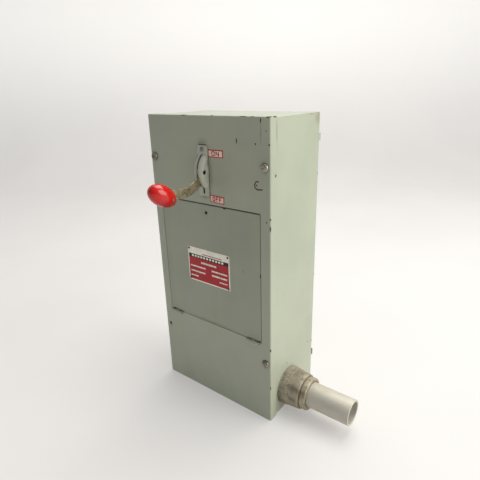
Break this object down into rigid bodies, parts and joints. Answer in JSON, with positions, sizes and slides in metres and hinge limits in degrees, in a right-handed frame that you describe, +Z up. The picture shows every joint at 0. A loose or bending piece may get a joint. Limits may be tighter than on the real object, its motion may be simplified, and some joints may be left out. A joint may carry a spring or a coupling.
{
  "type": "fused disconnect switch",
  "caption": "Wall-mounted heavy-duty fused disconnect switch in a sheet-steel box, with an outside lever handle, a drop-down fuse door, knife blades and a side conduit entry.",
  "frame": {"origin": "centre of the four wall bolts, on the wall plane at the back of the mounting rails", "axes": "+Z up, along the box's height; the front cover and handle face -Y; the conduit leaves towards +X"},
  "size_m": [0.407, 0.289, 0.562],
  "materials": {
    "grey_green_paint": "semi-gloss baked enamel, grey-green, worn through to rust at the edges",
    "guard_paint": "the same enamel, worn on the ridge",
    "zinc_plate": "zinc-plated steel, dulled",
    "lever_steel": "plated steel worn to a bronze-grey, with bright edges",
    "red_knob": "glossy red phenolic, lightly scuffed",
    "label_enamel": "cream label with a dark red border",
    "nameplate": "etched aluminium with red, black and silver bands",
    "rivet": "plain aluminium",
    "insulating_base": "black moulded phenolic",
    "barrier_board": "brown vulcanised fibre board",
    "crossbar_board": "red-brown laminated board",
    "copper": "copper, lightly tarnished",
    "tinned_contact": "tinned copper",
    "lug_aluminium": "extruded aluminium",
    "black_screw": "black oxide steel",
    "fuse_fibre": "buff vulcanised fibre tube",
    "fuse_copper": "copper caps and blades",
    "spring_steel": "spring wire",
    "hub_casting": "dull cast zinc, stained",
    "conduit_steel": "pale drawn aluminium tube",
    "bushing_plastic": "dark moulded plastic"
  },
  "bodies": {
    "enclosure": {"back_box": "grey_green_paint", "mounting_rails": "zinc_plate", "front_cover": "grey_green_paint", "cover_screws": "zinc_plate", "cover_nuts": "zinc_plate", "handle_guard": "guard_paint", "guard_screw": "zinc_plate", "mechanism_frame": "zinc_plate", "shaft_bracket": "zinc_plate", "on_label": "label_enamel", "off_label": "label_enamel", "handle_spring": "spring_steel", "switch_base": "insulating_base", "fuse_base": "insulating_base", "base_standoffs": "zinc_plate", "base_screws": "zinc_plate", "phase_barriers": "barrier_board", "line_jaws": "tinned_contact", "line_lugs": "lug_aluminium", "line_lug_screws": "black_screw", "hinge_contacts": "tinned_contact", "lower_fuse_clips": "tinned_contact", "load_lugs": "lug_aluminium", "load_lug_screws": "black_screw", "cover_hinge_leaves": "grey_green_paint", "hinge_pins": "zinc_plate", "door_catch": "spring_steel", "conduit_connector": "hub_casting", "conduit_nut": "hub_casting", "conduit_locknut": "zinc_plate", "conduit_bushing": "bushing_plastic", "conduit": "conduit_steel", "ground_lug": "lug_aluminium", "ground_lug_screw": "black_screw"},
    "handle": {"handle_lever": "lever_steel", "handle_knob": "red_knob", "knob_pin": "zinc_plate", "handle_shaft": "zinc_plate", "handle_crank": "zinc_plate", "handle_crank_pin": "zinc_plate"},
    "link": {"drive_link": "zinc_plate"},
    "rotor": {"switch_blades": "copper", "blade_pins": "zinc_plate", "crossbar": "crossbar_board", "rotor_crank": "zinc_plate", "rotor_crank_pin": "zinc_plate"},
    "door": {"door_panel": "grey_green_paint", "door_hinge_leaves": "grey_green_paint", "nameplate": "nameplate", "nameplate_rivets": "rivet", "door_strike": "zinc_plate"},
    "fuse_left": {"fuse_tube_left": "fuse_fibre", "fuse_ends_left": "fuse_copper"},
    "fuse_middle": {"fuse_tube_middle": "fuse_fibre", "fuse_ends_middle": "fuse_copper"},
    "fuse_right": {"fuse_tube_right": "fuse_fibre", "fuse_ends_right": "fuse_copper"}
  },
  "joints": [
    {"name": "handle_throw", "type": "hinge", "parent": "enclosure", "child": "handle", "pos_m": [-0.003, -0.14505, 0.178], "axis": [-1, 0, 0], "range_deg": [0, 60]},
    {"name": "blade_swing", "type": "hinge", "parent": "enclosure", "child": "rotor", "pos_m": [0, -0.072, 0.129], "axis": [-1, 0, 0], "range_deg": [0, 60]},
    {"name": "link_pivot", "type": "hinge", "parent": "handle", "child": "link", "pos_m": [0.0858, -0.14317, 0.20594], "axis": [-1, 0, 0], "range_deg": [-60, 0]},
    {"name": "door_hinge", "type": "hinge", "parent": "enclosure", "child": "door", "pos_m": [0, -0.16765, -0.1265], "axis": [1, 0, 0], "range_deg": [0, 120]},
    {"name": "fuse_left_pull", "type": "slide", "parent": "enclosure", "child": "fuse_left", "axis": [0, -1, 0], "range_m": [0, 0.03]},
    {"name": "fuse_middle_pull", "type": "slide", "parent": "enclosure", "child": "fuse_middle", "axis": [0, -1, 0], "range_m": [0, 0.03]},
    {"name": "fuse_right_pull", "type": "slide", "parent": "enclosure", "child": "fuse_right", "axis": [0, -1, 0], "range_m": [0, 0.03]}
  ],
  "couplings": [
    {"joint": "blade_swing", "follows": "handle_throw", "ratio": 1},
    {"joint": "link_pivot", "follows": "handle_throw", "ratio": -1}
  ]
}
